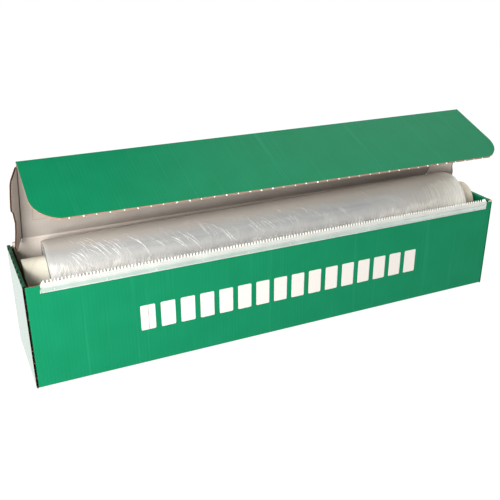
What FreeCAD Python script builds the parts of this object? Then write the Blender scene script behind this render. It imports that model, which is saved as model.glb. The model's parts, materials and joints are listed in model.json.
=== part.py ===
import FreeCAD, Part
import math
import os
import re
import Sketcher
from FreeCAD import Placement, Rotation, Vector

# Catering cling film carton: a folded corrugated mailer with a plastic cutter strip,
# holding one wound roll of film. Origin: bottom centre of the carton. +X runs along the
# carton, the printed front faces -Y, +Z is up. Lengths in millimetres, angles in degrees.

SIZES = [
    ("carton_length", 508.0, "outside length of the carton"),
    ("carton_depth", 96.0, "outside depth, front face to back face"),
    ("front_height", 100.5, "top edge of the front panel"),
    ("end_height", 102.5, "top of the rolled-over end walls"),
    ("hinge_height", 105.4, "lid crease, at the top of the back panel"),
    ("board", 1.7, "thickness of the fine-flute corrugated board"),
    ("layer_gap", 0.1, "air between two layers of board in an end wall"),
    ("crease_radius", 1.2, "outside radius of a folded bottom corner"),
    ("inner_margin", 0.8, "inner end panel clear of front and back panels"),
    ("tab_centre", 22.0, "lock tab centre, from the middle of the end"),
    ("tab_width", 19.6, "width of a lock tab"),
    ("slot_play", 0.2, "play on each side of a lock tab in its slot"),
    ("dust_flap_end", 3.0, "free end of a dust flap, from the middle of the end"),
    ("dust_flap_top", 97.5, "top edge of the dust flaps"),
    ("dust_flap_corner", 9.0, "corner radius of the dust flaps"),
    ("perforation_pitch", 11.0, "pitch of the cuts along the rolled-over edge"),
    ("perforation_length", 5.0, "length of one cut"),
    ("perforation_depth", 0.5, "depth of one cut"),
    ("perforation_count", 8, "cuts along one end wall"),
    ("lid_width", 475.0, "width of the lid between its side creases"),
    ("lid_shift", -2.0, "middle of the lid, from the middle of the carton"),
    ("lid_reach", 97.3, "lid crease to the inside of the front flap"),
    ("lid_angle", 64.2, "how far the lid stands open, up from closed"),
    ("flap_left", 80.5, "front flap below its crease, at the left"),
    ("flap_right", 85.8, "front flap below its crease, at the right"),
    ("flap_fold", 84.6, "fold of the front flap from flat"),
    ("flap_corner", 30.0, "corner radius of the front flap"),
    ("flap_trim", 1.5, "how far the free edge cuts into the corner arcs of the flap"),
    ("ear_start", 3.0, "end of an ear near the lid crease"),
    ("ear_end", 92, "end of an ear near the front flap"),
    ("ear_reach", 23.5, "widest place of an ear, near its front end"),
    ("ear_waist_left", 12.9, "narrowest place of the left ear"),
    ("ear_waist_right", 22.5, "narrowest place of the right ear"),
    ("ear_fold", 67.5, "fold of the ears from flat"),
    ("ear_corner", 3.0, "corner radius of an ear"),
    ("cutter_left", 239.4, "left end of the cutter strip, from the middle"),
    ("cutter_right", 245.6, "right end of the cutter strip, from the middle"),
    ("cutter_leg", 7.1, "how far the cutter reaches down the front panel"),
    ("cutter_rise", 4.6, "tooth tips above the front panel"),
    ("cutter_thickness", 0.7, "thickness of the cutter strip"),
    ("cutter_bead", 0.95, "thickness of the bead along its lower edge"),
    ("bead_height", 1.1, "height of that bead"),
    ("cutter_cut_left", 3.0, "slanted cut of the upper left corner"),
    ("cutter_cut_right", 3.0, "slanted cut of the upper right corner"),
    ("tooth_pitch", 3.09, "pitch of the cutter teeth"),
    ("tooth_height", 2.7, "height of the cutter teeth"),
    ("tooth_land", 0.3, "flat at the tip of a tooth"),
    ("tooth_count", 154, "gaps between teeth"),
    ("stake_radius", 0.9, "radius of a stake that pins the cutter"),
    ("stake_length", 2.3, "stake from the cutter face into the board"),
    ("stake_pitch", 45.5, "distance between stakes"),
    ("stake_count", 11, "number of stakes"),
    ("core_length", 492.0, "length of the paper core"),
    ("core_radius", 20.9, "outside radius of the paper core"),
    ("core_wall", 2.5, "wall of the paper core"),
    ("film_width", 450.0, "width of the film"),
    ("film_radius", 34.8, "outside radius of the wound film"),
    ("web_gap", 0.5, "loose outer turn clear of the wound film"),
    ("web_thickness", 0.4, "thickness standing for the loose outer turn"),
    ("web_drop", 26.0, "free end of the film below the roll's axis"),
    ("roll_offset", 0.6, "roll axis behind the middle of the carton"),
    ("roll_height", 85.6, "roll axis above the bottom, at mid length"),
    ("roll_yaw", -0.038, "roll axis, move in Y per unit of X"),
    ("roll_pitch", 0.025, "roll axis, move in Z per unit of X"),
]
ALIASES = {alias for alias, value, meaning in SIZES}

doc = FreeCAD.newDocument("FilmCarton")
sheet = doc.addObject("Spreadsheet::Sheet", "Sizes")
for row, (alias, value, meaning) in enumerate(SIZES, start=1):
    sheet.set(f"A{row}", meaning)
    sheet.set(f"B{row}", str(value))
    sheet.setAlias(f"B{row}", alias)
doc.recompute()


def size(alias):
    """One driving size, read from the sheet."""
    return float(sheet.get(alias))


def cells(text):
    """An expression in which each alias points at its cell."""
    return re.sub(r"[a-z_]+", lambda word: "Sizes." + word[0] if word[0] in ALIASES else word[0], text)


sub_parts = []


def new_body(label):
    """An empty body that becomes one sub-part."""
    body = doc.addObject("PartDesign::Body", label)
    body.Label = label
    sub_parts.append(body)
    return body


def new_sketch(body, role, name):
    """A sketch on one of the body's own origin planes."""
    sketch = body.newObject("Sketcher::SketchObject", body.Name + "_" + name)
    plane = [feature for feature in body.Origin.OriginFeatures if feature.Role == role][0]
    sketch.AttachmentSupport = [(plane, "")]
    sketch.MapMode = "FlatFace"
    return sketch


def add_outline(sketch, corners):
    """A closed outline whose corners are bound to expressions (across, up)."""
    count = len(corners)
    start = [
        Vector(40 * math.cos(2 * math.pi * i / count), 40 * math.sin(2 * math.pi * i / count), 0)
        for i in range(count)
    ]
    first = sketch.GeometryCount
    for i in range(count):
        sketch.addGeometry(Part.LineSegment(start[i], start[(i + 1) % count]), False)
    for i in range(count):
        sketch.addConstraint(Sketcher.Constraint("Coincident", first + i, 2, first + (i + 1) % count, 1))
    for i, (across, up) in enumerate(corners):
        for kind, value, text in (("DistanceX", start[i].x, across), ("DistanceY", start[i].y, up)):
            index = sketch.addConstraint(Sketcher.Constraint(kind, -1, 1, first + i, 1, value))
            sketch.setExpression(f"Constraints[{index}]", cells(text))


def add_pad(body, sketch, thickness, reverse=False):
    """Pad a sketch by an expression."""
    pad = body.newObject("PartDesign::Pad", sketch.Name + "_pad")
    pad.Profile = sketch
    pad.setExpression("Length", cells(thickness))
    pad.Reversed = reverse
    doc.recompute()
    return pad


def add_pocket(body, sketch, depth, reverse=False):
    """Cut a sketch out of the body, and make sure that it removes material."""
    before = body.Shape.Volume
    pocket = body.newObject("PartDesign::Pocket", sketch.Name + "_pocket")
    pocket.Profile = sketch
    pocket.setExpression("Length", cells(depth))
    pocket.Reversed = reverse
    doc.recompute()
    if body.Shape.Volume >= before - 1e-6:
        raise RuntimeError(pocket.Name + " removes nothing")
    return pocket


def add_row(body, feature, sketch, axis, pitch, count):
    """Repeat a feature along one of its sketch's axes."""
    pattern = body.newObject("PartDesign::LinearPattern", feature.Name + "_row")
    pattern.Originals = [feature]
    pattern.Direction = (sketch, [axis])
    pattern.setExpression("Length", cells(f"{pitch} * ({count} - 1)"))
    pattern.setExpression("Occurrences", cells(count))
    body.Tip = pattern
    doc.recompute()
    return pattern


def round_corners(body, points, radius, name):
    """Fillet the straight edges that pass through the given points of the body's own frame."""
    feature = body.Tip
    edges = []
    for number, edge in enumerate(feature.Shape.Edges, start=1):
        if any(edge.distToShape(Part.Vertex(point))[0] < 1e-4 for point in points):
            middle = edge.valueAt((edge.FirstParameter + edge.LastParameter) / 2)
            if any((middle - point).Length < 1e-3 for point in points):
                edges.append(f"Edge{number}")
    if len(edges) != len(points):
        raise RuntimeError(f"{body.Name}: {len(edges)} edges for {len(points)} corners")
    fillet = body.newObject("PartDesign::Fillet", body.Name + "_" + name)
    fillet.Base = (feature, edges)
    fillet.setExpression("Radius", cells(radius))
    doc.recompute()


def board_panel(label, role, corners, thickness="board", reverse=False):
    """A flat piece of board or sheet, cut to an outline."""
    body = new_body(label)
    sketch = new_sketch(body, role, "outline")
    add_outline(sketch, corners)
    add_pad(body, sketch, thickness, reverse)
    return body


def rectangle(left, right, low, high):
    return [(left, low), (right, low), (right, high), (left, high)]


BOARD = size("board")
HALF_LENGTH = size("carton_length") / 2
HALF_DEPTH = size("carton_depth") / 2
SIDES = (("left", -1), ("right", 1))

# ---------------------------------------------------------------- carton walls

wall_span = ("-(carton_length / 2 - board)", "carton_length / 2 - board")


def make_front_panel():
    panel = board_panel("front_panel", "XZ_Plane", rectangle(*wall_span, "0", "front_height"))
    panel.setExpression(".Placement.Base.y", cells("-carton_depth / 2 + board"))
    round_corners(panel, [Vector(0, -BOARD, 0)], "crease_radius", "bottom_crease")


def make_back_panel():
    """The back: narrower above the end walls, where it carries the lid crease."""
    low, high = wall_span
    neck = "(carton_length / 2 - 3 * board - 3 * layer_gap)"
    shoulder = "end_height - board"
    corners = [(low, "0"), (high, "0"), (high, shoulder), (neck, shoulder), (neck, "hinge_height")]
    corners += [(f"-{neck}", "hinge_height"), (f"-{neck}", shoulder), (low, shoulder)]
    panel = board_panel("back_panel", "XZ_Plane", corners)
    panel.setExpression(".Placement.Base.y", cells("carton_depth / 2"))
    round_corners(panel, [Vector(0, 0, 0)], "crease_radius", "bottom_crease")


def make_bottom_panel():
    """The bottom, with two slots at each end for the lock tabs."""
    inner = ("-(carton_depth / 2 - board)", "carton_depth / 2 - board")
    panel = board_panel("bottom_panel", "XY_Plane", rectangle(*wall_span, *inner))
    slots = new_sketch(panel, "XY_Plane", "slots")
    far = "(carton_length / 2 - 2 * board - 2 * layer_gap + slot_play)"
    near = "(carton_length / 2 - 3 * board - 2 * layer_gap - slot_play)"
    reach = "(tab_width / 2 + slot_play)"
    for span in ((f"-{far}", f"-{near}"), (near, far)):
        for centre in ("-tab_centre", "tab_centre"):
            add_outline(slots, rectangle(*span, f"{centre} - {reach}", f"{centre} + {reach}"))
    add_pocket(panel, slots, "board", reverse=True)


def make_end_outer(side, sign):
    corners = rectangle("-carton_depth / 2", "carton_depth / 2", "0", "end_height - board")
    panel = board_panel(f"{side}_end_outer", "YZ_Plane", corners, reverse=sign > 0)
    panel.setExpression(".Placement.Base.x", cells(f"{sign} * carton_length / 2"))
    round_corners(panel, [Vector(0, 0, 0)], "crease_radius", "bottom_crease")


def make_end_top_strip(side, sign):
    """The narrow strip that rolls over the end wall, with cuts along its outer crease."""
    width = f"{-sign} * (3 * board + 2 * layer_gap)"
    corners = rectangle("0", width, "-carton_depth / 2", "carton_depth / 2")
    strip = board_panel(f"{side}_end_top_strip", "XY_Plane", corners)
    strip.setExpression(".Placement.Base.x", cells(f"{sign} * carton_length / 2"))
    strip.setExpression(".Placement.Base.z", cells("end_height - board"))
    cut = new_sketch(strip, "XY_Plane", "cut")
    low = "-perforation_pitch * (perforation_count - 1) / 2 - perforation_length / 2"
    add_outline(cut, rectangle("0", f"{-sign} * perforation_depth", low, f"{low} + perforation_length"))
    first = add_pocket(strip, cut, "board", reverse=True)
    add_row(strip, first, cut, "V_Axis", "perforation_pitch", "perforation_count")


def make_end_inner(side, sign):
    """The inner end panel: its two lock tabs stand in the slots of the bottom."""
    edge = "(carton_depth / 2 - board - inner_margin)"
    half_tab = "tab_width / 2"
    top = "end_height - board"
    corners = [(f"-{edge}", "board")]
    for centre in ("-tab_centre", "tab_centre"):
        corners += [
            (f"{centre} - {half_tab}", "board"),
            (f"{centre} - {half_tab}", "0"),
            (f"{centre} + {half_tab}", "0"),
            (f"{centre} + {half_tab}", "board"),
        ]
    corners += [(edge, "board"), (edge, top), (f"-{edge}", top)]
    panel = board_panel(f"{side}_end_inner", "YZ_Plane", corners, reverse=sign > 0)
    panel.setExpression(".Placement.Base.x", cells(f"{sign} * (carton_length / 2 - 2 * board - 2 * layer_gap)"))


def make_dust_flap(face, way, side, sign):
    """A flap folded from the front or back panel into the middle layer of an end wall."""
    outer = f"{way} * (carton_depth / 2 - board)"
    free = f"{way} * dust_flap_end"
    corners = rectangle(outer, free, "board", "dust_flap_top")
    panel = board_panel(f"{face}_{side}_dust_flap", "YZ_Plane", corners, reverse=sign > 0)
    panel.setExpression(".Placement.Base.x", cells(f"{sign} * (carton_length / 2 - board - layer_gap)"))
    middle = -sign * BOARD / 2
    free_y = way * size("dust_flap_end")
    points = [Vector(middle, free_y, BOARD), Vector(middle, free_y, size("dust_flap_top"))]
    round_corners(panel, points, "dust_flap_corner", "free_corners")


# ---------------------------------------------------------------- lid, flap and ears

# The lid pieces are drawn flat, with the lid crease along X through the origin and the
# board above it, and are then folded into place.
HINGE = Placement(Vector(0, HALF_DEPTH, size("hinge_height")), Rotation(Vector(-1, 0, 0), size("lid_angle")))
LID_ENDS = {"left": "(lid_shift - lid_width / 2)", "right": "(lid_shift + lid_width / 2)"}
LID_X = {side: size("lid_shift") + sign * size("lid_width") / 2 for side, sign in SIDES}


def make_lid_panel():
    corners = rectangle(LID_ENDS["left"], LID_ENDS["right"], "-lid_reach", "0")
    panel = board_panel("lid_panel", "XY_Plane", corners)
    panel.Placement = HINGE


def make_front_flap():
    """The long flap: its straight free edge is cut a little inside the corner arcs."""
    left, right = LID_ENDS["left"], LID_ENDS["right"]
    blank_left, blank_right = "-(flap_left + flap_trim)", "-(flap_right + flap_trim)"
    blank = [(left, blank_left), (right, blank_right), (right, "0"), (left, "0")]
    flap = board_panel("lid_front_flap", "XY_Plane", blank)
    points = [
        Vector(LID_X[side], -(size(f"flap_{side}") + size("flap_trim")), BOARD / 2)
        for side, sign in SIDES
    ]
    round_corners(flap, points, "flap_corner", "free_corners")
    trim = new_sketch(flap, "XY_Plane", "trim")
    add_outline(trim, [(left, blank_left), (right, blank_right), (right, "-flap_right"), (left, "-flap_left")])
    add_pocket(flap, trim, "board", reverse=True)
    crease = Placement(Vector(0, -size("lid_reach"), 0), Rotation(Vector(-1, 0, 0), -size("flap_fold")))
    flap.Placement = HINGE.multiply(crease)


# How far each ear stands out beyond its waist, and how far along the crease from its
# start. The front part of both ears is the same, up to its step.
EAR_WAISTS = {
    "left": [(4.6, 0), (6.8, 7), (4.5, 14), (1.4, 23), (0, 33), (2.7, 43), (4.6, 50.5)],
    "right": [(1.5, 0), (5.5, 9), (7, 17), (5, 24), (1.9, 29), (0, 35), (0, 50.5)],
}
EAR_WIDEST = 63.5
EAR_NOSE = [
    ("ear_reach - 1", "ear_start + 58"),
    ("ear_reach", f"ear_start + {EAR_WIDEST}"),
    ("ear_reach - 2.2", "ear_end - 12"),
    ("ear_reach - 4.2", "ear_end - 2.5"),
    ("ear_reach - 7.5", "ear_end"),
]


def make_ear(side, sign):
    """A side flap of the lid: widest near the front, with a waist behind a step."""
    outline = [(f"ear_waist_{side} + {beyond}", f"ear_start + {along}") for beyond, along in EAR_WAISTS[side]]
    outline += EAR_NOSE
    corners = [("0", "-ear_start")]
    corners += [(f"{sign} * ({reach})", f"-({along})") for reach, along in outline]
    corners.append(("0", "-ear_end"))
    ear = board_panel(f"lid_{side}_ear", "XY_Plane", corners)
    widest = Vector(sign * size("ear_reach"), -(size("ear_start") + EAR_WIDEST), BOARD / 2)
    round_corners(ear, [widest], "ear_corner", "widest_corner")
    crease = Placement(Vector(LID_X[side], 0, 0), Rotation(Vector(0, sign, 0), size("ear_fold")))
    ear.Placement = HINGE.multiply(crease)


# ---------------------------------------------------------------- cutter

def make_cutter_strip():
    """A thin toothed strip on the front panel, with a bead along its lower edge."""
    low = "front_height - cutter_leg"
    tip = "front_height + cutter_rise"
    shoulder = f"{tip} - tooth_height - 1"
    outline = [
        ("-cutter_left", low),
        ("cutter_right", low),
        ("cutter_right", shoulder),
        ("cutter_right - cutter_cut_right", tip),
        ("-cutter_left + cutter_cut_left", tip),
        ("-cutter_left", shoulder),
    ]
    strip = board_panel("cutter_strip", "XZ_Plane", outline, "cutter_thickness")
    strip.setExpression(".Placement.Base.y", cells("-carton_depth / 2"))
    bead = new_sketch(strip, "XZ_Plane", "bead")
    add_outline(bead, rectangle("-cutter_left", "cutter_right", low, f"{low} + bead_height"))
    add_pad(strip, bead, "cutter_bead")
    gap = new_sketch(strip, "XZ_Plane", "gap")
    start = "-cutter_left + cutter_cut_left + tooth_land"
    add_outline(gap, [
        (start, tip),
        (f"{start} + (tooth_pitch - tooth_land) / 2", f"{tip} - tooth_height"),
        (f"{start} + tooth_pitch - tooth_land", tip),
    ])
    first = add_pocket(strip, gap, "cutter_thickness", reverse=True)
    add_row(strip, first, gap, "H_Axis", "tooth_pitch", "tooth_count")


def make_cutter_stakes():
    """Heat stakes that pin the cutter to the front panel: one row of separate studs."""
    row = doc.addObject("Part::Compound", "cutter_stakes")
    row.Label = "cutter_stakes"
    studs = []
    for number in range(int(size("stake_count"))):
        stud = doc.addObject("Part::Cylinder", f"stake_{number}")
        stud.setExpression("Radius", cells("stake_radius"))
        stud.setExpression("Height", cells("stake_length"))
        stud.Placement.Rotation = Rotation(Vector(1, 0, 0), -90)
        stud.setExpression(".Placement.Base.x", cells(f"stake_pitch * ({number} - (stake_count - 1) / 2)"))
        stud.setExpression(".Placement.Base.y", cells("-carton_depth / 2 - cutter_bead"))
        stud.setExpression(".Placement.Base.z", cells("front_height - cutter_leg + bead_height + stake_radius"))
        studs.append(stud)
    row.Links = studs
    sub_parts.append(row)


# ---------------------------------------------------------------- roll

# The roll lies loosely in the carton, a little askew, so its axis is turned from X.
ROLL = Placement(
    Vector(0, size("roll_offset"), size("roll_height")),
    Rotation(Vector(1, 0, 0), Vector(1, size("roll_yaw"), size("roll_pitch"))),
)


def make_tube(label, outer, inner, length_alias):
    """A tube along the roll's axis, centred on the middle of the roll."""
    body = new_body(label)
    sketch = new_sketch(body, "YZ_Plane", "ring")
    for radius in (outer, inner):
        circle = sketch.addGeometry(Part.Circle(Vector(0, 0, 0), Vector(0, 0, 1), 10), False)
        sketch.addConstraint(Sketcher.Constraint("Coincident", circle, 3, -1, 1))
        index = sketch.addConstraint(Sketcher.Constraint("Radius", circle, 10))
        sketch.setExpression(f"Constraints[{index}]", cells(radius))
    add_pad(body, sketch, length_alias)
    body.Placement = ROLL.multiply(Placement(Vector(-size(length_alias) / 2, 0, 0), Rotation()))


def make_film_web():
    """The loose outer turn: over the roll from the back, then hanging down in front of it."""
    body = new_body("film_web")
    sketch = new_sketch(body, "YZ_Plane", "section")
    inner = size("film_radius") + size("web_gap")
    outer = inner + size("web_thickness")
    drop = size("web_drop")
    arcs = []
    for radius, text in ((outer, "film_radius + web_gap + web_thickness"), (inner, "film_radius + web_gap")):
        circle = Part.Circle(Vector(0, 0, 0), Vector(0, 0, 1), radius)
        arc = sketch.addGeometry(Part.ArcOfCircle(circle, 0, math.pi), False)
        sketch.addConstraint(Sketcher.Constraint("Coincident", arc, 3, -1, 1))
        index = sketch.addConstraint(Sketcher.Constraint("Radius", arc, radius))
        sketch.setExpression(f"Constraints[{index}]", cells(text))
        for end in (1, 2):
            sketch.addConstraint(Sketcher.Constraint("PointOnObject", arc, end, -1))
        arcs.append((arc, radius))
    lower = []
    for arc, radius in arcs:
        line = sketch.addGeometry(Part.LineSegment(Vector(-radius, 0, 0), Vector(-radius, -drop, 0)), False)
        sketch.addConstraint(Sketcher.Constraint("Coincident", arc, 2, line, 1))
        sketch.addConstraint(Sketcher.Constraint("Vertical", line))
        index = sketch.addConstraint(Sketcher.Constraint("DistanceY", line, 2, line, 1, drop))
        sketch.setExpression(f"Constraints[{index}]", cells("web_drop"))
        lower.append(line)
    for (first, first_end), (second, second_end), height in (
        ((lower[0], 2), (lower[1], 2), -drop),
        ((arcs[0][0], 1), (arcs[1][0], 1), 0),
    ):
        sign = -1 if height else 1
        line = sketch.addGeometry(
            Part.LineSegment(Vector(sign * outer, height, 0), Vector(sign * inner, height, 0)), False)
        sketch.addConstraint(Sketcher.Constraint("Coincident", line, 1, first, first_end))
        sketch.addConstraint(Sketcher.Constraint("Coincident", line, 2, second, second_end))
    add_pad(body, sketch, "film_width")
    body.Placement = ROLL.multiply(Placement(Vector(-size("film_width") / 2, 0, 0), Rotation()))


make_bottom_panel()
make_front_panel()
make_back_panel()
for side, sign in SIDES:
    make_end_outer(side, sign)
    make_end_top_strip(side, sign)
    make_end_inner(side, sign)
    make_dust_flap("front", -1, side, sign)
    make_dust_flap("back", 1, side, sign)
    make_ear(side, sign)
make_lid_panel()
make_front_flap()
make_cutter_strip()
make_cutter_stakes()
make_tube("paper_core", "core_radius", "core_radius - core_wall", "core_length")
make_tube("film_roll", "film_radius", "core_radius", "film_width")
make_film_web()
doc.recompute()

# ---------------------------------------------------------------- checks and files

for item in doc.Objects:
    if "Invalid" in item.State or "Error" in item.State:
        raise RuntimeError(f"{item.Name} failed: {item.State}")
os.makedirs("parts", exist_ok=True)
for item in sub_parts:
    if item.Shape.isNull() or not item.Shape.isValid():
        raise RuntimeError(f"{item.Label} has no valid shape")
    item.Shape.exportStep(f"parts/{item.Label}.step")
    box = item.Shape.BoundBox
    print(
        f"{item.Label:24s} solids {len(item.Shape.Solids):3d} volume {item.Shape.Volume:12.1f}"
        f"  x {box.XMin:7.1f} {box.XMax:7.1f}  y {box.YMin:6.1f} {box.YMax:6.1f}"
        f"  z {box.ZMin:6.1f} {box.ZMax:6.1f}"
    )
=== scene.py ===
import json
import math
import random

import bpy
import numpy as np
from mathutils import Matrix, Vector
from mathutils.geometry import tessellate_polygon


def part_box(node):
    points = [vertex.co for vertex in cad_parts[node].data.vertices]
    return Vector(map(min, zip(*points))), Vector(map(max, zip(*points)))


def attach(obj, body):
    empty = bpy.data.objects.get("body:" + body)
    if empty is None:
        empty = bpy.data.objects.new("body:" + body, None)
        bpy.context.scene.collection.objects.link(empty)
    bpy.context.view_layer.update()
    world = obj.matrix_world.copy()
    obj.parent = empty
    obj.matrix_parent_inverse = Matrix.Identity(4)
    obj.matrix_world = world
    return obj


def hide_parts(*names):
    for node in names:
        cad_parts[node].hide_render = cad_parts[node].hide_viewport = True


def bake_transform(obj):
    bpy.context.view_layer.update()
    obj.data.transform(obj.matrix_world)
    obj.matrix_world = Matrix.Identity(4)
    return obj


# A folded corrugated carton with an open lid, a toothed plastic cutter along its front
# edge and a wound roll of cling film on a paper core. Everything is in metres, in the
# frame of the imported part.

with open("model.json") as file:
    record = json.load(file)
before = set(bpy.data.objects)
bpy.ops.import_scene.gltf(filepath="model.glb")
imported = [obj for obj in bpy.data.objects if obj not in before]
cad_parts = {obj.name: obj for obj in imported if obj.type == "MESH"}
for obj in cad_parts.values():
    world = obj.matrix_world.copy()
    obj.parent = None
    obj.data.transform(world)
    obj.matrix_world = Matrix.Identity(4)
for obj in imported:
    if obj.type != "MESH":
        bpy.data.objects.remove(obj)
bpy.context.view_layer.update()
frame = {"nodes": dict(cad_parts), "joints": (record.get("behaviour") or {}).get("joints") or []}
NODES = frame["nodes"]
JOINTS = {joint["name"]: joint for joint in frame["joints"]}
SIDES = (("left", -1), ("right", 1))
MM = 0.001
UP = Vector((0, 0, 1))
ALONG = Vector((1, 0, 0))
FRONT = Vector((0, -1, 0))
BACK = Vector((0, 1, 0))

# The board: two liners with a fluted medium between them.
FLUTE_PITCH = 3.35 * MM
LINER = 0.24 * MM
MEDIUM = 0.22 * MM
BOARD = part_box("bottom_panel")[1].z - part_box("bottom_panel")[0].z
front_low, front_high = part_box("front_panel")
back_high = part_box("back_panel")[1]

# The teeth of the cutter stand between these two heights.
TOOTH_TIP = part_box("cutter_strip")[1].z
TEETH = (TOOTH_TIP - 3.2 * MM, TOOTH_TIP - 1.4 * MM)


def srgb(red, green, blue):
    """A colour given as 0 to 255, as linear light."""
    shares = [part / 255 for part in (red, green, blue)]
    return tuple(c / 12.92 if c <= 0.04045 else ((c + 0.055) / 1.055) ** 2.4 for c in shares)


# ---- materials

class Surface:
    """A material and the nodes that feed its shader."""

    def __init__(self, name, colour, roughness, **settings):
        self.material = bpy.data.materials.new(name)
        self.material.use_nodes = True
        self.tree = self.material.node_tree
        self.shader = self.tree.nodes["Principled BSDF"]
        self.shader.inputs["Base Color"].default_value = (*colour, 1)
        self.shader.inputs["Roughness"].default_value = roughness
        for socket, value in settings.items():
            self.shader.inputs[socket.replace("_", " ")].default_value = value

    def node(self, kind, inputs, **options):
        """A new node. An input is a number, a vector, or another node's output."""
        made = self.tree.nodes.new("ShaderNode" + kind)
        for option, value in options.items():
            setattr(made, option, value)
        for key, value in inputs.items():
            if isinstance(value, bpy.types.NodeSocket):
                self.tree.links.new(value, made.inputs[key])
            else:
                made.inputs[key].default_value = value
        return made

    def feed(self, socket, output):
        self.tree.links.new(output, self.shader.inputs[socket])

    def math(self, operation, first, second=0.0, third=0.0):
        inputs = {0: first, 1: second, 2: third}
        return self.node("Math", inputs, operation=operation).outputs[0]

    def vector(self, operation, first, second=(0, 0, 0)):
        return self.node("VectorMath", {0: first, 1: second}, operation=operation).outputs[0]

    def place(self, scale=(1, 1, 1)):
        """The surface's own flat coordinates, in metres, times a scale."""
        flat = self.node("UVMap", {}, uv_map="flat").outputs["UV"]
        return self.vector("MULTIPLY", flat, scale)

    def flat_axis(self, axis):
        """One flat coordinate, X or Y, in metres."""
        return self.node("SeparateXYZ", {0: self.place()}).outputs[axis]

    def noise(self, scale, detail=4.0, roughness=0.6, where=None):
        """Cloudy noise; scale is how many clouds there are to a metre."""
        where = self.place() if where is None else where
        inputs = {"Vector": where, "Scale": scale, "Detail": detail, "Roughness": roughness}
        return self.node("TexNoise", inputs).outputs["Fac"]

    def spread(self, value, low, high, to_low=0.0, to_high=1.0):
        """Value stretched from low..high to to_low..to_high, and held inside it."""
        inputs = {"Value": value, "From Min": low, "From Max": high, "To Min": to_low, "To Max": to_high}
        return self.node("MapRange", inputs, clamp=True).outputs["Result"]

    def mix(self, share, first, second):
        """First where share is 0, second where it is 1. Sockets 6 and 7 of a Mix node hold colours."""
        made = self.node("Mix", {}, data_type="RGBA")
        self.tree.links.new(share, made.inputs[0])
        for index, colour in ((6, first), (7, second)):
            if isinstance(colour, bpy.types.NodeSocket):
                self.tree.links.new(colour, made.inputs[index])
            else:
                made.inputs[index].default_value = (*colour, 1)
        return made.outputs[2]

    def tint(self, pattern, first, second, low=0.3, high=0.7, most=1.0):
        """First, turned towards second by up to most as the pattern goes from low to high."""
        return self.mix(self.spread(pattern, low, high, 0, most), first, second)

    def raised(self, height, strength, distance):
        """The surface's normals as if it stood up by height times distance."""
        inputs = {"Height": height, "Strength": strength, "Distance": distance}
        return self.node("Bump", inputs).outputs["Normal"]

    def bump(self, height, strength, distance=0.1 * MM):
        self.feed("Normal", self.raised(height, strength, distance))

    def flutes(self):
        """A wave across the board, at the pitch of its flutes."""
        turn = self.math("MULTIPLY", self.flat_axis("X"), 2 * math.pi / FLUTE_PITCH)
        return self.math("SINE", turn)


def green_print(name="green_print", gloss=0.06, roughness=0.3, coat=0.0):
    """Flexo print on a white-topped liner: uneven washboard lines and ink, thin varnish."""
    made = Surface(name, srgb(14, 122, 82), roughness, Specular_IOR_Level=gloss, Coat_Weight=coat)
    blotch = made.noise(30, 3, 0.5)
    grain = made.noise(1400, 3, 0.7)
    uneven = made.noise(110, 3, 0.65, made.place((1, 0.03, 1)))
    wave = made.flutes()
    deep = made.tint(blotch, srgb(8, 112, 74), srgb(12, 117, 79))
    fine = made.tint(grain, deep, srgb(36, 132, 95), 0.4, 0.8, 0.18)
    pressed = made.math("MULTIPLY", made.spread(wave, -1, 1), made.spread(uneven, 0.35, 0.65, 0.02, 0.17))
    lined = made.mix(pressed, fine, srgb(3, 88, 56))
    streaked = made.tint(uneven, lined, srgb(34, 134, 96), 0.56, 0.72, 0.35)
    made.feed("Base Color", streaked)
    made.feed("Roughness", made.spread(grain, 0.3, 0.7, roughness * 0.9, roughness * 1.2))
    made.bump(made.math("MULTIPLY_ADD", wave, 0.5, made.math("MULTIPLY", grain, 0.2)), 0.18)
    return made.material


def rolled_green():
    """The print where the board rolls over an end wall: darker, rubbed through in spots."""
    made = Surface("rolled_green", srgb(7, 74, 48), 0.5, Specular_IOR_Level=0.2)
    rubbed = made.noise(520, 3, 0.6)
    uneven = made.spread(made.noise(220, 3, 0.6), 0.38, 0.6)
    base = made.mix(uneven, srgb(4, 70, 45), srgb(12, 112, 74))
    made.feed("Base Color", made.tint(rubbed, base, srgb(44, 28, 20), 0.55, 0.60))
    made.bump(rubbed, 0.5, 0.2 * MM)
    return made.material


def grey_liner(name="grey_liner", shade=1.0):
    """Unprinted recycled liner: greyish beige, with fibres and faint flute lines."""
    def tone(red, green, blue):
        return tuple(part * shade for part in srgb(red, green, blue))

    made = Surface(name, tone(205, 195, 184), 0.78, Specular_IOR_Level=0.35)
    clouds = made.noise(30, 4, 0.6)
    fibres = made.noise(600, 5, 0.75, made.place((3.0, 0.55, 1)))
    specks = made.noise(2100, 2, 0.5)
    wave = made.flutes()
    base = made.tint(clouds, tone(190, 180, 171), tone(204, 196, 188))
    fibred = made.tint(fibres, base, tone(174, 163, 152), 0.45, 0.75, 0.40)
    specked = made.tint(specks, fibred, tone(128, 112, 96), 0.68, 0.74, 0.5)
    made.feed("Base Color", made.tint(wave, specked, tone(150, 139, 128), -1, 1, 0.04))
    made.bump(made.math("MULTIPLY_ADD", wave, 0.5, made.math("MULTIPLY", fibres, 0.5)), 0.2)
    return made.material


def raw_board(name, dark, light, specks=None):
    """Cut, pressed or torn board paper; specks is the colour of the frayed spots in it."""
    dark = srgb(*dark)
    made = Surface(name, dark, 0.9, Specular_IOR_Level=0.05)
    fibres = made.noise(2600, 4, 0.7, made.place((1, 0.3, 1)))
    colour = made.tint(fibres, dark, srgb(*light))
    if specks is not None:
        frayed = made.noise(620, 3, 0.7)
        colour = made.tint(frayed, colour, srgb(*specks), 0.60, 0.68)
    made.feed("Base Color", colour)
    made.bump(fibres, 0.5)
    return made.material


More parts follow.
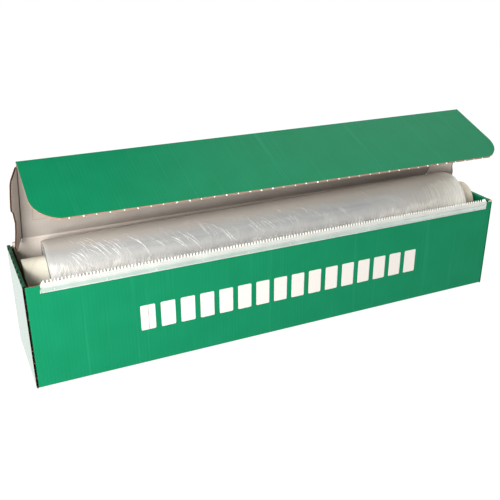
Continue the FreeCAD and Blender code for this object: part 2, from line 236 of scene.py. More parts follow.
def white_ink():
    """Opaque white print: grainy, and a little greyer along the flutes."""
    made = Surface("white_ink", srgb(228, 222, 216), 0.45, Specular_IOR_Level=0.3)
    grain = made.noise(1800, 3, 0.6)
    wave = made.flutes()
    base = made.tint(grain, srgb(203, 197, 191), srgb(214, 209, 204), 0.35, 0.7)
    made.feed("Base Color", made.tint(wave, base, srgb(196, 196, 190), -1, 1, 0.10))
    made.bump(wave, 0.2)
    return made.material


def cutter_plastic(name, colour, light, roughness, see_through, teeth=None):
    """Extruded plastic with fine draw lines, whiter between the two heights of its teeth."""
    made = Surface(name, colour, roughness, IOR=1.49, Transmission_Weight=see_through)
    lines = made.noise(700, 3, 0.6, made.place((0.02, 1.5, 1)))
    cloud = made.noise(60, 3, 0.5)
    base = made.tint(cloud, colour, light)
    drawn = made.tint(lines, base, light, 0.4, 0.75, 0.12)
    if teeth is not None:
        drawn = made.tint(made.flat_axis("Y"), drawn, srgb(252, 252, 244), *teeth)
    made.feed("Base Color", drawn)
    made.feed("Roughness", made.spread(lines, 0.3, 0.7, roughness * 0.9, roughness * 1.2))
    made.bump(lines, 0.03)
    return made.material


def core_paper():
    """Wound kraft tube with a pale outer ply: spiral seam, fibres, stains, and painted shade over its
    right half.
    """
    made = Surface("core_paper", srgb(226, 218, 200), 0.75, Specular_IOR_Level=0.3)
    fibres = made.noise(500, 5, 0.7, made.place((1, 2.5, 1)))
    clouds = made.noise(45, 4, 0.6)
    specks = made.noise(1900, 2, 0.5)
    seam = made.node("Attribute", {}, attribute_name="seam").outputs["Fac"]
    base = made.tint(clouds, srgb(230, 224, 207), srgb(240, 236, 221))
    fibred = made.tint(fibres, base, srgb(214, 206, 186), 0.4, 0.75, 0.4)
    specked = made.tint(specks, fibred, srgb(165, 152, 130), 0.66, 0.72, 0.5)
    # Painted shade: darker over the right half of the tube's outside and along its bore.
    right_shade_share = made.spread(made.flat_axis("X"), 0.215, 0.235, 0, 0.7)
    shaded_right = made.mix(right_shade_share, specked, srgb(196, 186, 164))
    made.feed("Base Color", made.mix(made.math("MULTIPLY", seam, 0.22), shaded_right, srgb(150, 138, 116)))
    made.bump(fibres, 0.35)
    return made.material


def wound_film():
    """Hundreds of clear turns seen together: a grey, mirror-like stack, streaked round the roll."""
    made = Surface("wound_film", srgb(186, 187, 186), 0.2, IOR=1.6, Coat_Weight=0.4, Coat_Roughness=0.14)
    streaks = made.noise(700, 3, 0.6, made.place((1, 0.015, 1)))
    clouds = made.noise(14, 3, 0.5)
    base = made.tint(clouds, srgb(182, 184, 184), srgb(194, 194, 191))
    lit = made.tint(streaks, base, srgb(214, 214, 210), 0.5, 0.85, 0.35)

    # Painted shade: the layers of the left end are darker than the turns.
    left_end_shade = made.spread(made.flat_axis("X"), 0.012, 0.021)
    made.feed("Base Color", made.mix(left_end_shade, srgb(140, 141, 140), lit))
    made.feed("Roughness", made.spread(streaks, 0.3, 0.7, 0.2, 0.32))
    made.bump(streaks, 0.08)
    return made.material


def loose_film():
    """One clear turn: a painted reflection of the lid's liner over the top, greyer in front, white and
    pleated near the teeth.
    """
    made = Surface("loose_film", srgb(200, 202, 202), 0.12, IOR=1.5, Coat_Weight=0.4, Coat_Roughness=0.06)

    # How far along the roll from its middle, and how far over it from its back.
    along = made.flat_axis("X")
    over = made.flat_axis("Y")
    streaks = made.noise(620, 4, 0.7, made.place((1, 0.05, 1)))
    turn = {"Vector": made.place(), "Angle": -0.5}
    slanted = made.node("VectorRotate", turn, rotation_type="Z_AXIS").outputs[0]
    slants = made.noise(430, 4, 0.7, made.vector("MULTIPLY", slanted, (1, 0.09, 1)))
    patches = made.noise(55, 3, 0.6, made.place((1, 0.5, 1)))
    bands = made.noise(150, 3, 0.6, made.place((0.05, 1, 1)))

    # Where the film is loose: near the teeth, and further up towards both ends.
    left_end = made.spread(along, -0.10, -0.225)
    right_end = made.spread(along, 0.10, 0.20)
    patchy = made.math("MULTIPLY_ADD", patches, 0.016, over)
    rise = made.math("MULTIPLY_ADD", made.math("MAXIMUM", left_end, right_end), 0.012, patchy)
    near_teeth = made.spread(rise, 0.094, 0.108)
    # White near the teeth is partly the crumpled film and partly painted light over the shade just above
    # the teeth.
    fine = made.spread(made.math("MAXIMUM", streaks, slants), 0.42, 0.60, 0.66, 1.0)
    rings = made.spread(streaks, 0.35, 0.60, 0.74, 1.0)
    ringed = made.math("MULTIPLY", made.spread(rise, 0.070, 0.092), rings)
    wrapped = made.math("MULTIPLY", right_end, ringed)
    white = made.math("MAXIMUM", made.math("MULTIPLY", near_teeth, fine), wrapped)

    # A painted reflection of the lid's pale liner over the top, darker towards the left end.
    liner_reflection_share = made.spread(over, 0.080, 0.066)
    pale = made.tint(along, srgb(194, 187, 180), srgb(205, 198, 188), -0.20, 0.02)
    grey = made.tint(bands, srgb(166, 169, 170), srgb(184, 186, 186))
    clear = made.mix(liner_reflection_share, grey, pale)
    frosted = made.mix(right_end, srgb(252, 250, 246), srgb(243, 241, 230))
    made.feed("Base Color", made.mix(white, clear, frosted))
    made.feed("Alpha", made.math("MAXIMUM", made.spread(liner_reflection_share, 0, 1, 0.55, 0.75), white))
    made.feed("Roughness", made.spread(white, 0, 1, 0.10, 0.34))

    # The white parts lean upwards and catch the light from above.
    crumpled = made.raised(made.math("MULTIPLY", streaks, near_teeth), 0.35, 0.15 * MM)
    up = made.node("CombineXYZ", {"Z": made.math("MULTIPLY", white, 1.3)}).outputs[0]
    made.feed("Normal", made.vector("NORMALIZE", made.vector("ADD", crumpled, up)))
    return made.material


def pleat_film():
    """A pressed pleat of the loose film, with a painted highlight: white in its middle, clear at its
    sides.
    """
    made = Surface("film_pleat", srgb(250, 250, 247), 0.18, IOR=1.5, Coat_Weight=0.5, Coat_Roughness=0.06)
    middle = made.node("Attribute", {}, attribute_name="middle").outputs["Fac"]
    glint = made.noise(300, 3, 0.6)
    made.feed("Base Color", made.tint(glint, srgb(240, 241, 239), srgb(255, 255, 253)))
    made.feed("Alpha", made.math("MULTIPLY", middle, made.spread(glint, 0.25, 0.55, 0.5, 1.0)))
    return made.material


def studio_floor():
    """A seamless white studio ground that glows evenly, like a lit table."""
    made = Surface("studio_floor", (0.05, 0.05, 0.05), 0.6, Specular_IOR_Level=0.0, Emission_Strength=1.0)
    made.shader.inputs["Emission Color"].default_value = (1, 1, 1, 1)
    position = made.node("NewGeometry", {}).outputs["Position"]
    grain = made.spread(made.noise(9, 3, 0.5, position), 0.3, 0.7)
    made.feed("Base Color", made.mix(grain, (0.045, 0.045, 0.045), (0.055, 0.055, 0.055)))
    return made.material


GREEN = green_print()
GLOSSY = green_print("green_print_end", 0.95, 0.16, 0.5)
ROLLED = rolled_green()
GREY = grey_liner()
# The same liner darkened as painted shade, for the insides of the lid and its front flap.
GREY_SHADED = grey_liner("grey_liner_painted_shade", 0.76)
KRAFT = raw_board("kraft_medium", (66, 42, 30), (112, 80, 60))
PALE_KRAFT = raw_board("pale_medium", (160, 132, 118), (196, 168, 154))
CUT = raw_board("cut_liner", (196, 140, 122), (226, 184, 168))
FLAP_CUT = raw_board("flap_cut", (132, 92, 78), (198, 152, 136))
EAR_CUT = raw_board("frayed_edge", (88, 66, 54), (150, 126, 110), (214, 198, 184))
# Cut board edges painted near black: brown flutes under painted shade of the gaps beside them.
SHADED_CUT = raw_board("cut_edge_painted_shade", (16, 8, 6), (48, 27, 20), (186, 136, 118))
SCORED = raw_board("pressed_liner", (152, 141, 131), (172, 161, 150))
# A painted shadow for the creases at the lid's ends.
CREASE_SHADOW = raw_board("painted_crease_shadow", (92, 80, 70), (118, 106, 96))
TORN = raw_board("torn_fibres", (238, 228, 210), (255, 252, 246))
WHITE = white_ink()
BLADE = cutter_plastic("cutter_white", srgb(176, 179, 172), srgb(192, 195, 188), 0.26, 0.08, TEETH)
LEG = cutter_plastic("cutter_pale", srgb(154, 172, 166), srgb(168, 186, 180), 0.20, 0.18)
CORE = core_paper()
WOUND = wound_film()
LOOSE = loose_film()
PLEAT = pleat_film()


# ---- mesh helpers

def make_mesh(name, points, faces, materials, face_materials=None, flat=None, smooth=False):
    """A mesh object. flat gives each point's place on the unrolled surface, in metres."""
    mesh = bpy.data.meshes.new(name)
    mesh.from_pydata([tuple(p) for p in points], [], faces)
    for material in materials:
        mesh.materials.append(material)
    if face_materials is not None:
        mesh.polygons.foreach_set("material_index", np.array(face_materials, np.int32))
    if flat is not None:
        corners = np.zeros(len(mesh.loops), np.int32)
        mesh.loops.foreach_get("vertex_index", corners)
        layer = mesh.uv_layers.new(name="flat")
        layer.data.foreach_set("uv", np.array(flat, np.float32)[corners].ravel())
    mesh.polygons.foreach_set("use_smooth", np.full(len(mesh.polygons), smooth))
    mesh.validate()
    mesh.update()
    made = bpy.data.objects.new(name, mesh)
    bpy.context.scene.collection.objects.link(made)
    return made


def add_attribute(made, name, values):
    layer = made.data.attributes.new(name, "FLOAT", "POINT")
    layer.data.foreach_set("value", np.array(values, np.float32))


def grid(rows, count, closed=False):
    """Quads over rows + 1 rows of count points; a closed row joins its end to its start."""
    faces = []
    for row in range(rows):
        for i in range(count if closed else count - 1):
            here = row * count + i
            ahead = row * count + (i + 1) % count
            faces.append((here, ahead, ahead + count, here + count))
    return faces


def caps(rows, count):
    """The two faces that close the ends of such a grid."""
    last = rows * count
    return [tuple(range(count)), tuple(range(last + count - 1, last - 1, -1))]


def quarter(across, up, radius, start):
    """Points round a quarter of a circle about (across, up), from the angle start."""
    angles = [math.radians(start + 18 * i) for i in range(6)]
    return [(across + radius * math.cos(a), up + radius * math.sin(a)) for a in angles]


class Parts:
    """Points, faces, materials and flat places collected for one mesh."""

    def __init__(self):
        self.points = []
        self.faces = []
        self.kinds = []
        self.flat = []

    def add(self, points, faces, kind, flat):
        first = len(self.points)
        self.points += list(points)
        self.flat += list(flat)
        self.faces += [tuple(first + i for i in face) for face in faces]
        self.kinds += [kind] * len(faces)

    def build(self, name, materials, smooth=False):
        return make_mesh(name, self.points, self.faces, materials, self.kinds, self.flat, smooth)


# ---- corrugated board

class Sheet:
    """The plane, thickness and outline of a flat CAD node."""

    def __init__(self, node, outward, along):
        mesh = NODES[node].data
        mesh.calc_loop_triangles()
        facing = {}
        for triangle in mesh.loop_triangles:
            if triangle.normal.dot(outward) > 0.5:
                key = tuple(round(c, 2) for c in triangle.normal)
                facing[key] = facing.get(key, Vector()) + triangle.normal * triangle.area
        self.w = max(facing.values(), key=lambda total: total.length).normalized()
        self.v = (Vector(along) - self.w * self.w.dot(along)).normalized()
        self.u = self.v.cross(self.w)
        depths = [vertex.co.dot(self.w) for vertex in mesh.vertices]
        self.inner = min(depths)
        self.outer = max(depths)
        self.loops = self.find_loops(mesh)

    def find_loops(self, mesh):
        """The closed outlines of the inner face, holes among them."""
        near_face = 0.04 * MM
        edges = {}
        for triangle in mesh.loop_triangles:
            corners = [mesh.vertices[i].co for i in triangle.vertices]
            if all(abs(c.dot(self.w) - self.inner) < near_face for c in corners):
                keys = [(round(c.dot(self.u), 6), round(c.dot(self.v), 6)) for c in corners]
                for start, end in zip(keys, keys[1:] + keys[:1]):
                    edge = frozenset((start, end))
                    edges[edge] = edges.get(edge, 0) + 1
        links = {}
        for edge, uses in edges.items():
            if uses == 1:
                start, end = tuple(edge)
                links.setdefault(start, []).append(end)
                links.setdefault(end, []).append(start)
        loops = []
        while links:
            first = min(links)
            loop = [first]
            before, here = None, first
            while True:
                ahead = [p for p in links[here] if p != before]
                before, here = here, ahead[0]
                if here == first:
                    break
                loop.append(here)
            for point in loop:
                del links[point]
            loops.append(loop)
        return loops

    def trim(self, side, limit):
        """Holds the outline to one side of a line: side names the axis and which end of it."""
        axis = 0 if "u" in side else 1
        keep = max if "low" in side else min
        for loop in self.loops:
            for i, point in enumerate(loop):
                moved = list(point)
                moved[axis] = keep(moved[axis], limit)
                loop[i] = tuple(moved)

    def reach(self, axis):
        """The lowest and highest place of the outline, on axis 0 for u or 1 for v."""
        places = [point[axis] for loop in self.loops for point in loop]
        return min(places), max(places)

    def point(self, u, v, w):
        """w counts outward from the inner face."""
        return self.u * u + self.v * v + self.w * (self.inner + w)

    def spans(self, u):
        """The stretches of board on the line at u."""
        cuts = []
        for loop in self.loops:
            for (u0, v0), (u1, v1) in zip(loop, loop[1:] + loop[:1]):
                if (u0 <= u) != (u1 <= u):
                    cuts.append(v0 + (v1 - v0) * (u - u0) / (u1 - u0))
        cuts.sort()
        return list(zip(cuts[::2], cuts[1::2]))


def add_liner(parts, sheet, low, high, top_kind, under_kind, edge_kind):
    """One paper of the board, between two depths."""
    flat_points = [p for loop in sheet.loops for p in loop]
    triangles = tessellate_polygon([[Vector((*p, 0)) for p in loop] for loop in sheet.loops])
    upper = [sheet.point(u, v, high) for u, v in flat_points]
    lower = [sheet.point(u, v, low) for u, v in flat_points]
    parts.add(upper, triangles, top_kind, flat_points)
    parts.add(lower, [tuple(reversed(t)) for t in triangles], under_kind, flat_points)
    sides = []
    first = 0
    count = len(flat_points)
    for loop in sheet.loops:
        for i in range(len(loop)):
            j = (i + 1) % len(loop)
            sides.append((first + i, first + j, count + first + j, count + first + i))
        first += len(loop)
    parts.add(upper + lower, sides, edge_kind, flat_points * 2)


def add_medium(parts, sheet, thickness, kind):
    """The fluted paper between the liners, as a real wave."""
    left, right = sheet.reach(0)
    middle = thickness / 2
    swing = middle - LINER - MEDIUM / 2
    step = FLUTE_PITCH / 10
    inset = 0.35 * MM
    before = None
    for number in range(1, int((right - left) / step)):
        u = left + number * step
        wave = math.sin(2 * math.pi * u / FLUTE_PITCH)
        here = []
        for low, high in sheet.spans(u):
            ring = []
            for v in (low + inset, high - inset):
                for side in (-1, 1):
                    ring.append((u, v, middle + swing * wave + side * MEDIUM / 2))
            here.append(ring)
        if before is not None and len(before) == len(here):
            for old, new in zip(before, here):
                points = [sheet.point(*p) for p in old + new]
                faces = [(0, 2, 6, 4), (1, 5, 7, 3), (0, 4, 5, 1), (2, 3, 7, 6)]
                parts.add(points, faces, kind, [p[:2] for p in old + new])
        before = here


def make_board(node, body, outward, along, trims=(), edge=CUT, face=GREEN, inside=GREY, medium=KRAFT):
    """Replaces a CAD panel with two liners and a fluted medium of the same outline."""
    sheet = Sheet(node, Vector(outward), Vector(along))
    for side, limit in trims:
        sheet.trim(side, limit)
    thickness = sheet.outer - sheet.inner
    parts = Parts()
    add_liner(parts, sheet, thickness - LINER, thickness, 0, 2, 3)
    add_liner(parts, sheet, 0, LINER, 2, 1, 3)
    add_medium(parts, sheet, thickness, 2)
    board = parts.build(node + "_board", [face, inside, medium, edge])
    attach(board, body)
    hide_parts(node)
    return sheet


# The materials of a fold: its outside, its inside and its cut ends.
FOLDED = [GREEN, GREY, KRAFT]


def add_fold(parts, start, end, first, last):
    """A rounded outside corner of folded board, from direction first to direction last."""
    steps = 7
    points = []
    flat = []
    for corner, along in ((start, 0.0), (end, (end - start).length)):
        points.append(corner)
        flat.append((along, 0.0))
        for i in range(steps + 1):
            points.append(corner + first.slerp(last, i / steps) * BOARD)
            flat.append((along, i * BOARD * 0.2))
    ring = steps + 2
    outer = [(1 + i, 2 + i, ring + 2 + i, ring + 1 + i) for i in range(steps)]
    inner = [(0, 1, ring + 1, ring), (ring - 1, 0, ring, 2 * ring - 1)]
    parts.add(points, outer, 0, flat)
    parts.add(points, caps(1, ring), 2, flat)
    parts.add(points, inner, 2, flat)


def make_carton():
    """The panels of the carton, and the folds between them."""
    corner = front_high.x - BOARD
    make_board("bottom_panel", "carton", -UP, BACK)
    make_board("front_panel", "carton", FRONT, UP, [("v low", BOARD), ("u low", -corner)])
    make_board("back_panel", "carton", BACK, UP, [("v low", BOARD), ("v high", back_high.z - 0.5 * MM)])
    for side, sign in SIDES:
        out = ALONG * sign
        # The left outer end's cut edge and medium, and the inner ends' edges, carry the painted shade of
        # cut edges.
        cut, trim = (SHADED_CUT, ("u low", BOARD)) if side == "left" else (GREEN, ("u high", -BOARD))
        make_board(f"{side}_end_outer", "carton", out, BACK, [trim], cut, GLOSSY, medium=cut)
        make_board(f"{side}_end_inner", "carton", -out, BACK, edge=SHADED_CUT)
        for face in ("front", "back"):
            make_board(f"{face}_{side}_dust_flap", "carton", out, UP)
    parts = Parts()
    inner_y = front_high.y
    end_x = front_high.x
    half_depth = -front_low.y
    for y, out in ((inner_y, FRONT), (-inner_y, BACK)):
        add_fold(parts, Vector((-end_x, y, BOARD)), Vector((end_x, y, BOARD)), out, -UP)
    for sign in (-1, 1):
        start = Vector((sign * end_x, -half_depth, BOARD))
        add_fold(parts, start, Vector((sign * end_x, half_depth, BOARD)), ALONG * sign, -UP)
    start = Vector((-corner, inner_y, BOARD))
    add_fold(parts, start, Vector((-corner, inner_y, front_high.z)), FRONT, -ALONG)
    folds = parts.build("carton_folds", FOLDED)
    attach(folds, "carton")


make_carton()

# ---- lid

lid_pivot = Vector(JOINTS["lid_hinge"]["pos_m"])
lid_along = Vector(JOINTS["right_ear_crease"]["axis"]) * -1
lid_out = Vector((0, lid_along.z, -lid_along.y))
flap_pivot = Vector(JOINTS["flap_crease"]["pos_m"])

# About how the front flap lies: out of its printed face, and towards its free edge.
FLAP_OUT = Vector((0, -0.35, 0.94))
FLAP_DOWN = Vector((0, -0.94, -0.35))


def make_lid():
    """The lid, its front flap and its two ears, and the folds that bend between them."""
    # The insides of the lid and its flap take the liner darkened as painted shade.
    make_board("lid_panel", "lid", lid_out, lid_along, inside=GREY_SHADED)
    flap_sheet = make_board(
        "lid_front_flap", "front_flap", FLAP_OUT, FLAP_DOWN, edge=FLAP_CUT,
        inside=GREY_SHADED, medium=PALE_KRAFT)
    low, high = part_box("lid_panel")
    parts = Parts()
    start = Vector((low.x, flap_pivot.y, flap_pivot.z))
    end = Vector((high.x, flap_pivot.y, flap_pivot.z))
    add_fold(parts, start, end, lid_out, flap_sheet.w)
    fold = parts.build("flap_fold", FOLDED, smooth=True)
    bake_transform(fold)
    for side, sign in SIDES:
        ear_sheet = make_board(
            f"lid_{side}_ear", f"{side}_ear", (sign, 0.3, 0.2), (sign * 0.4, -0.8, -0.4), (), EAR_CUT)
        pivot = Vector(JOINTS[f"{side}_ear_crease"]["pos_m"])
        ear_vertices = NODES[f"lid_{side}_ear"].data.vertices
        reach = [(vertex.co - pivot).dot(lid_along) for vertex in ear_vertices]
        start = pivot + lid_along * min(reach)
        end = pivot + lid_along * max(reach)
        parts = Parts()
        add_fold(parts, start, end, lid_out, ear_sheet.w)
        fold = parts.build(f"{side}_ear_fold", FOLDED, smooth=True)
        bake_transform(fold)


make_lid()


def make_lid_hinge():
    """The scored fold between the back panel and the lid: two score lines and a bulge."""
    low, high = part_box("lid_panel")

    # The two faces of the fold, as y and z from the hinge in millimetres, from below upwards.
    inside = [
        (-1.70, -2.4), (-1.45, -1.9), (-1.95, -1.2), (-2.15, -0.4),
        (-1.95, 0.45), (-1.15, 1.05), (-0.82, 1.9),
    ]
    outside = [
        (0.0, -2.4), (0.25, -1.5), (0.85, -0.7), (1.45, 0.05),
        (1.72, 0.75), (1.50, 1.35), (0.78, 2.45),
    ]
    profile = [(y * MM, z * MM) for y, z in inside + outside[::-1]]
    count = len(profile)
    points = []
    flat = []
    for x in (low.x, high.x):
        for i, (y, z) in enumerate(profile):
            points.append(Vector((x, lid_pivot.y + y, lid_pivot.z + z)))
            flat.append((x, i * 0.8 * MM))
    parts = Parts()
    quads = grid(1, count)
    middle = len(inside) - 1
    parts.add(points, quads[:middle], 1, flat)
    parts.add(points, quads[middle + 1:], 0, flat)
    parts.add(points, caps(1, count), 2, flat)
    hinge = parts.build("lid_hinge_fold", FOLDED)
    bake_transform(hinge)


make_lid_hinge()

# ---- end walls' rolled tops

def make_rolled_top(side):
    """The strip that rolls over an end wall, with the cuts along its outer crease."""
    node = f"{side}_end_top_strip"
    low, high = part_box(node)
    outer = max(abs(low.x), abs(high.x))
    inner = min(abs(low.x), abs(high.x))
    crushed_width = 3.4 * MM
    sign, top, cut_end = 1, GREEN, CUT
    if side == "left":
        inner = outer - crushed_width
        sign, top, cut_end = -1, ROLLED, SHADED_CUT
    radius = 1.0 * MM
    foot = low.z - 0.1 * MM
    profile = [(outer, foot)]
    profile += quarter(outer - radius, high.z - radius, radius, 0)
    profile += quarter(inner + radius, high.z - radius, radius, 90)
    profile.append((inner, foot))

    # The cuts are centred between whole pitches, and sink the outer rounding a little.
    pitch = 11.0 * MM
    cut = 5.0 * MM
    step = 0.5 * MM
    sunk_in = 0.45 * MM
    sunk_down = 0.35 * MM
    last_sunk = 5
    rows = int(round((high.y - low.y) / step))
    points = []
    flat = []
    cut_rows = []
    for row in range(rows + 1):
        y = low.y + row * step
        from_cut = abs((y / pitch) - 0.5 - math.floor(y / pitch)) * pitch
        cut_rows.append(from_cut < cut / 2 and abs(y) < 4 * pitch)
        for i, (x, z) in enumerate(profile):
            if cut_rows[row] and 1 <= i <= last_sunk:
                x -= sunk_in
                z -= sunk_down
            points.append(Vector((sign * x, y, z)))
            flat.append((y, i * 0.4 * MM))
    count = len(profile)
    green_faces = []
    raw_faces = []
    for number, quad in enumerate(grid(rows, count)):
        row, i = divmod(number, count - 1)
        raw = (cut_rows[row] or cut_rows[row + 1]) and i <= last_sunk
        (raw_faces if raw else green_faces).append(quad)
    parts = Parts()
    parts.add(points, green_faces, 0, flat)
    # The raw faces of the cuts, and the left strip's ends, carry the painted shade of cut edges.
    parts.add(points, raw_faces, 1, flat)
    parts.add(points, caps(rows, count), 2, flat)
    strip = parts.build(f"{side}_rolled_top", [top, SHADED_CUT, cut_end])
    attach(strip, "carton")
    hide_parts(node)


make_rolled_top("left")
make_rolled_top("right")

# ---- print and torn nicks

def make_print():
    """Plain rounded blocks in white ink across the front, with no lettering."""
    parts = Parts()
    blocks = 16
    left, right = -154.4 * MM, 154.4 * MM
    low, high = 35.6 * MM, 61.2 * MM
    width = 14.2 * MM
    radius = 1.2 * MM
    ink = 0.04 * MM
    for number in range(blocks):
        centre = left + width / 2 + (right - left - width) * number / (blocks - 1)
        outline = []
        for turn, (side, end) in enumerate(((1, 1), (-1, 1), (-1, -1), (1, -1))):
            across = centre + side * (width / 2 - radius)
            up = (low + high) / 2 + end * ((high - low) / 2 - radius)
            outline += quarter(across, up, radius, 90 * turn)
        count = len(outline)
        points = [Vector((x, y, z)) for y in (front_low.y - ink, front_low.y) for x, z in outline]
        parts.add(points, [tuple(range(count))], 0, outline * 2)
        parts.add(points, grid(1, count, closed=True), 0, outline * 2)
    print_blocks = parts.build("front_print", [WHITE])
    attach(print_blocks, "carton")


make_print()


def make_nicks():
    """Torn paper bridges along the free edge of the front flap, three tufts in each."""
    sheet = Sheet("lid_front_flap", FLAP_OUT, FLAP_DOWN)
    rng = random.Random(7)
    parts = Parts()
    pitch = 11.3 * MM
    from_corner = 19 * MM
    root = 0.15 * MM
    around = 5
    narrowing = 0.6
    left, right = sheet.reach(0)
    first, last = left + from_corner, right - from_corner
    for number in range(int((last - first) / pitch) + 1):
        u = first + number * pitch + rng.uniform(-0.6, 0.6) * MM
        free = sheet.spans(u)[-1][1]
        for _ in range(3):
            centre = u + rng.uniform(-0.5, 0.5) * MM
            depth = rng.uniform(0.5, 1.35) * MM
            size = rng.uniform(0.25, 0.55) * MM
            length = rng.uniform(0.4, 1.3) * MM
            base = []
            tip = []
            for i in range(around):
                angle = 2 * math.pi * i / around
                a = centre + size * math.cos(angle) * rng.uniform(0.7, 1.3)
                w = depth + size * math.sin(angle)
                tip_a = centre + (a - centre) * narrowing
                base.append(sheet.point(a, free - root, w))
                tip.append(sheet.point(tip_a, free + length, depth + (w - depth) * narrowing))
            faces = grid(1, around, closed=True) + [tuple(range(around, 2 * around))]
            parts.add(base + tip, faces, 0, [(p.x, p.y) for p in base + tip])
    nicks = parts.build("flap_nicks", [TORN], smooth=True)
    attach(nicks, "front_flap")


make_nicks()


def add_strip(parts, place, start, end, width, height, kind=0):
    """A low ridge with sloping sides from start to end, both (u, v) on a surface."""
    along = Vector((end[0] - start[0], end[1] - start[1])).normalized()
    side = Vector((-along.y, along.x)) * width / 2
    points = []
    flat = []
    for u, v in (start, end):
        for share, rise in ((-1, 0.0), (-0.5, 1.0), (0.5, 1.0), (1, 0.0)):
            a, b = u + side.x * share, v + side.y * share
            points.append(place(a, b, rise * height))
            flat.append((a, b))
    parts.add(points, [(0, 4, 5, 1), (1, 5, 6, 2), (2, 6, 7, 3)], kind, flat)


def make_scores():
    """A pressed rectangle and two end creases inside the lid, the creases painted dark as their shadow,
    and a faint line down the front.
    """
    sheet = Sheet("lid_panel", lid_out, lid_along)
    left, right = sheet.reach(0)
    low, high = sheet.reach(1)

    def in_lid(u, v, rise):
        return sheet.point(u, v, -rise)

    def on_front(x, z, rise):
        return Vector((x, front_low.y - rise, z))

    inside = Parts()
    sides = (left + 11.5 * MM, right - 11.5 * MM)
    ends = (low + 25 * MM, high - 8 * MM)
    corners = [(sides[0], ends[0]), (sides[1], ends[0]), (sides[1], ends[1]), (sides[0], ends[1])]
    for start, end in zip(corners, corners[1:] + corners[:1]):
        add_strip(inside, in_lid, start, end, 0.9 * MM, 0.05 * MM)
    # The end creases take the second material, a painted crease shadow.
    for u in (left + 0.5 * MM, right - 0.5 * MM):
        add_strip(inside, in_lid, (u, low + 3 * MM), (u, high - 3 * MM), 1.0 * MM, 0.05 * MM, 1)
    pressed = inside.build("lid_pressed_lines", [SCORED, CREASE_SHADOW])
    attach(pressed, "lid")
    front = Parts()
    x = -146.8 * MM
    add_strip(front, on_front, (x, 1.5 * MM), (x, front_high.z - 9 * MM), 0.6 * MM, 0.04 * MM)
    line = front.build("front_pressed_line", [GREEN])
    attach(line, "carton")


make_scores()

# ---- cutter

def add_burr(parts, centre, size, rng):
    """A small ragged lump left by the saw at the end of the cutter."""
    rings, around = 5, 8
    points = []
    for ring in range(rings + 1):
        tilt = math.pi * ring / rings
        for i in range(around):
            turn = 2 * math.pi * i / around
            reach = size * rng.uniform(0.7, 1.15)
            aside = math.sin(tilt) * math.cos(turn)
            out = 0.45 * math.sin(tilt) * math.sin(turn)
            points.append(centre + Vector((aside, out, math.cos(tilt))) * reach)
    parts.add(points, grid(rings, around, closed=True), 0, [(p.x, p.z) for p in points])


def open_gaps(loop):
    """Widens the gaps between the teeth, which leaves each tooth a narrow spike."""
    widest = 2.5 * MM
    shallowest = 1.5 * MM
    share = 0.52
    opened = []
    for before, here, after in zip(loop[-1:] + loop[:-1], loop, loop[1:] + loop[:1]):
        steps = (before[0] - here[0], after[0] - here[0])
        between = min(before[1], after[1]) > here[1] + shallowest and max(map(abs, steps)) < widest
        opened += [(here[0] + step * share, here[1]) for step in steps] if between else [here]
    return opened


# The cutter is this thick, and its blade and its leg meet at this height.
CUTTER_THICKNESS = 0.7 * MM
CUTTER_SPLIT = front_high.z - 2.5 * MM


def make_cutter():
    """The toothed strip: a white blade above and a pale leg below."""
    parts = Parts()
    for kind, side in enumerate(("v low", "v high")):
        piece = Sheet("cutter_strip", FRONT, UP)
        piece.trim(side, CUTTER_SPLIT)
        loop = [p for i, p in enumerate(piece.loops[0]) if p != piece.loops[0][i - 1]]
        piece.loops[0] = open_gaps(loop)
        add_liner(parts, piece, 0, CUTTER_THICKNESS, kind, kind, kind)
    blade = parts.build("cutter_blade", [BLADE, LEG])
    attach(blade, "carton")
    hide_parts("cutter_strip")


make_cutter()


def make_ribs():
    """The rib where blade and leg meet, the bead at the foot, and the burrs at the left end."""
    sheet = Sheet("cutter_strip", FRONT, UP)
    left, right = sheet.reach(0)
    foot = sheet.reach(1)[0]
    rows = 240
    ring = 9
    sunk = 0.05 * MM
    rib_line = CUTTER_SPLIT + 0.2 * MM
    bead_line = foot + 0.55 * MM
    ribs = Parts()
    for centre, radius, bulge in ((rib_line, 0.55 * MM, 0.75), (bead_line, 0.62 * MM, 0.8)):
        points = []
        flat = []
        for row in range(rows + 1):
            u = left + (right - left) * row / rows
            swell = 1 + 0.06 * math.sin(row * 1.7) * math.sin(row * 0.37)
            for i in range(ring):
                angle = math.pi * i / (ring - 1)
                v = centre + radius * math.cos(angle) * swell
                w = CUTTER_THICKNESS + radius * bulge * math.sin(angle) * swell - sunk
                points.append(sheet.point(u, v, w))
                flat.append((u, v))
        ribs.add(points, grid(rows, ring) + caps(rows, ring), 0, flat)
    rng = random.Random(2)
    for height, size in ((0.5, 0.8), (1.6, 0.6), (3.0, 0.45)):
        place = sheet.point(left - 0.2 * MM, foot + height * MM, CUTTER_THICKNESS / 2)
        add_burr(ribs, place, size * MM, rng)
    rib = ribs.build("cutter_ribs", [BLADE], smooth=True)
    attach(rib, "carton")


make_ribs()


